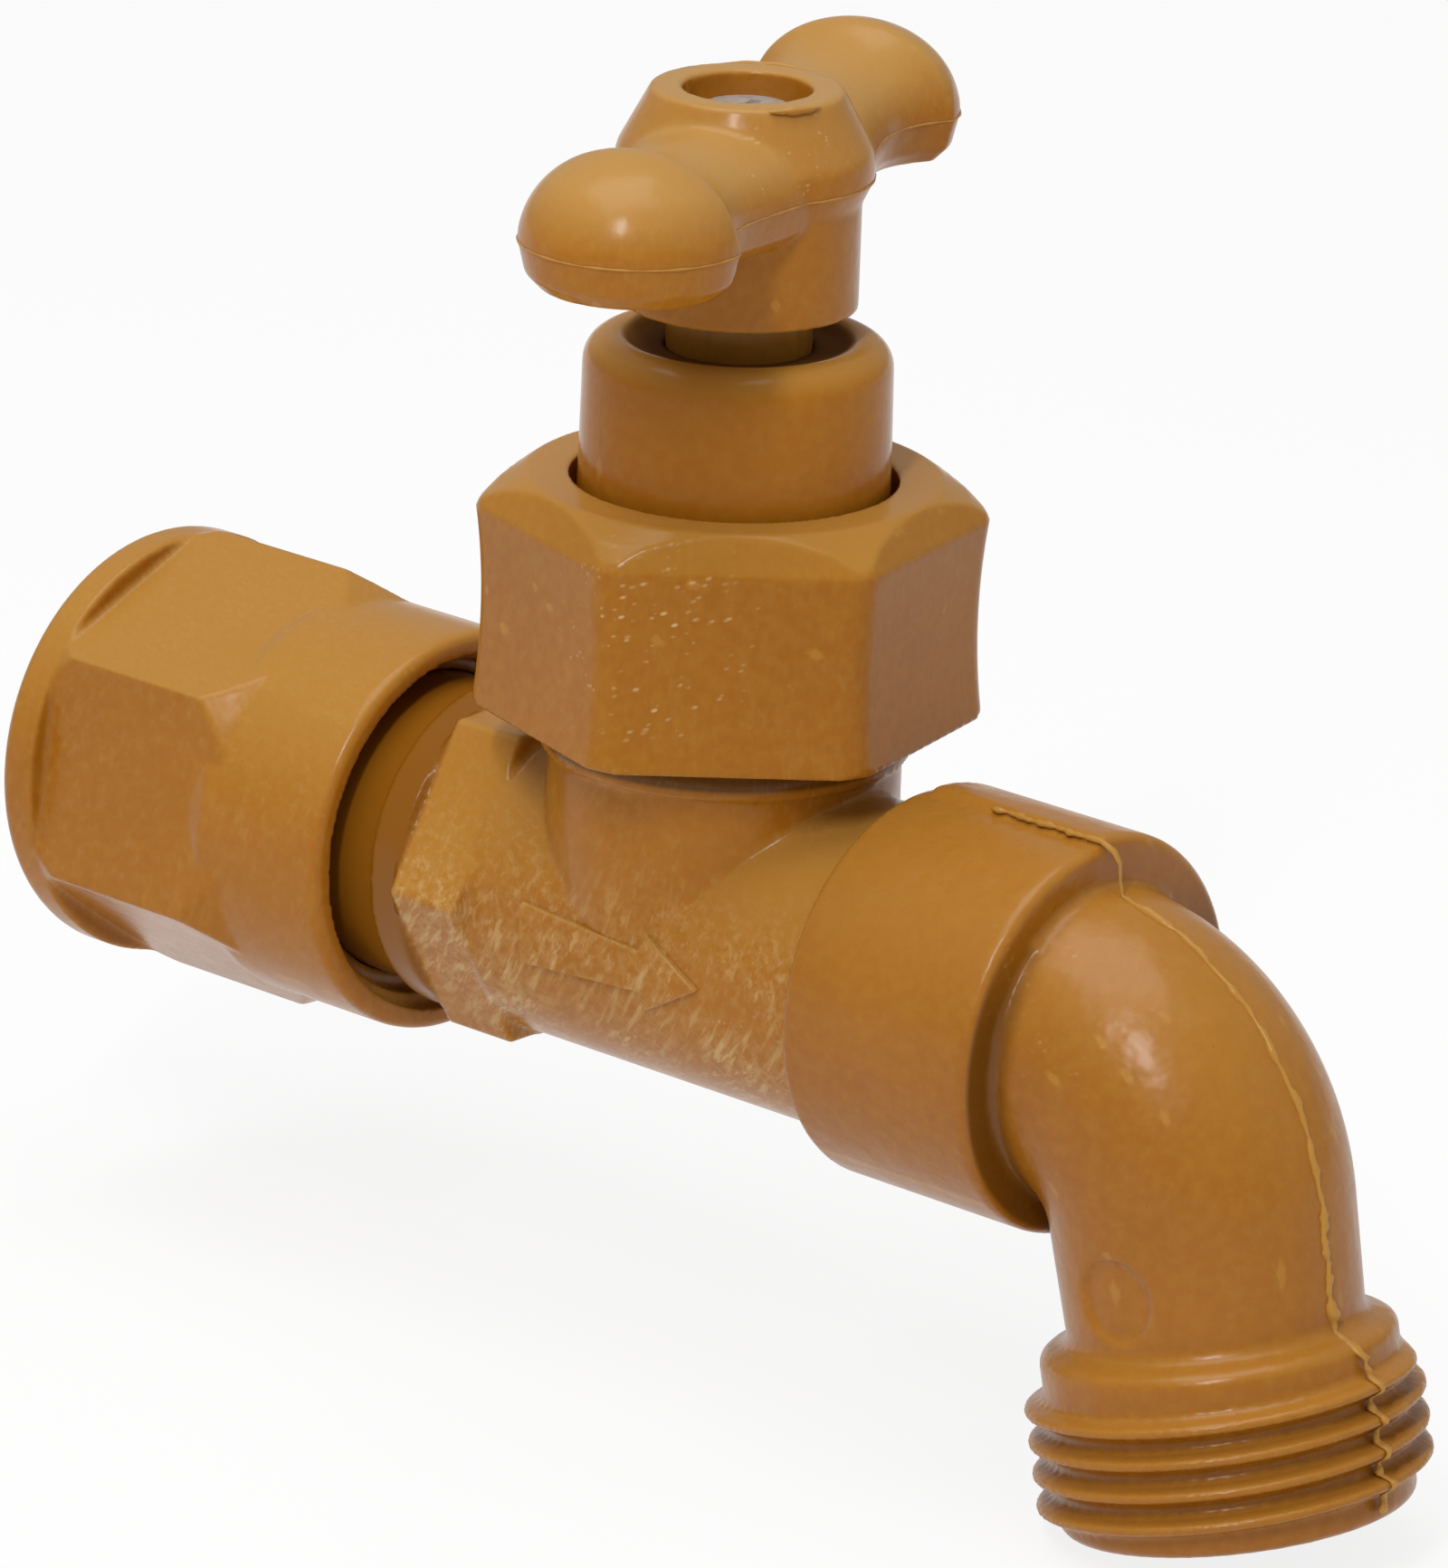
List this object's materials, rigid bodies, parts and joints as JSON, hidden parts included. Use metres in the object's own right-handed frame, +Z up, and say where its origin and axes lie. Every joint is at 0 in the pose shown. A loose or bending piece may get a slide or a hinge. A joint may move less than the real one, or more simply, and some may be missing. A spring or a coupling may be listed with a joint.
{
  "type": "bib tap",
  "caption": "Moulded plastic bib tap with a compression nut inlet, a screw-down tee handle and a downturned spout with a male hose thread.",
  "frame": {"origin": "centre of the mouth of the body's pipe socket, on the pipe axis", "axes": "+X along the pipe axis with the flow, from inlet to spout; +Z up along the spindle axis"},
  "size_m": [0.1162, 0.0524, 0.0916],
  "materials": {
    "tap_plastic": "satin moulded acetal, ochre brown",
    "inner_plastic": "natural moulded",
    "seal_rubber": "matte",
    "steel": "bright zinc",
    "brass": "turned"
  },
  "bodies": {
    "tap": {"tap_body": "tap_plastic", "spout": "tap_plastic", "spout_seal": "seal_rubber", "bonnet": "tap_plastic", "bonnet_gasket": "seal_rubber", "bonnet_nut": "tap_plastic"},
    "valve": {"jumper": "inner_plastic", "seat_washer": "seal_rubber", "washer_screw": "brass"},
    "spindle_and_handle": {"spindle": "tap_plastic", "lower_spindle_seal": "seal_rubber", "upper_spindle_seal": "seal_rubber", "thrust_washer": "inner_plastic", "handle": "tap_plastic", "handle_screw": "steel"},
    "pipe_grip": {"grab_ring": "steel", "thrust_ring": "inner_plastic", "pipe_seal": "seal_rubber"},
    "compression_nut": {"inlet_nut": "tap_plastic"}
  },
  "joints": [
    {"name": "valve_lift", "type": "slide", "parent": "tap", "child": "valve", "axis": [0, 0, 1], "range_m": [0, 0.006]},
    {"name": "handle_turn", "type": "hinge", "parent": "valve", "child": "spindle_and_handle", "pos_m": [0.042, 0, 0.0532], "axis": [0, 0, 1], "range_deg": [0, 720]},
    {"name": "nut_travel", "type": "slide", "parent": "tap", "child": "pipe_grip", "axis": [-1, 0, 0], "range_m": [0, 0.004]},
    {"name": "nut_turn", "type": "hinge", "parent": "pipe_grip", "child": "compression_nut", "pos_m": [0, 0, 0], "axis": [-1, 0, 0], "range_deg": [0, 720]}
  ],
  "couplings": [
    {"joint": "valve_lift", "follows": "handle_turn", "m_per_rad": 0.00047746},
    {"joint": "nut_travel", "follows": "nut_turn", "m_per_rad": 0.0003183}
  ]
}
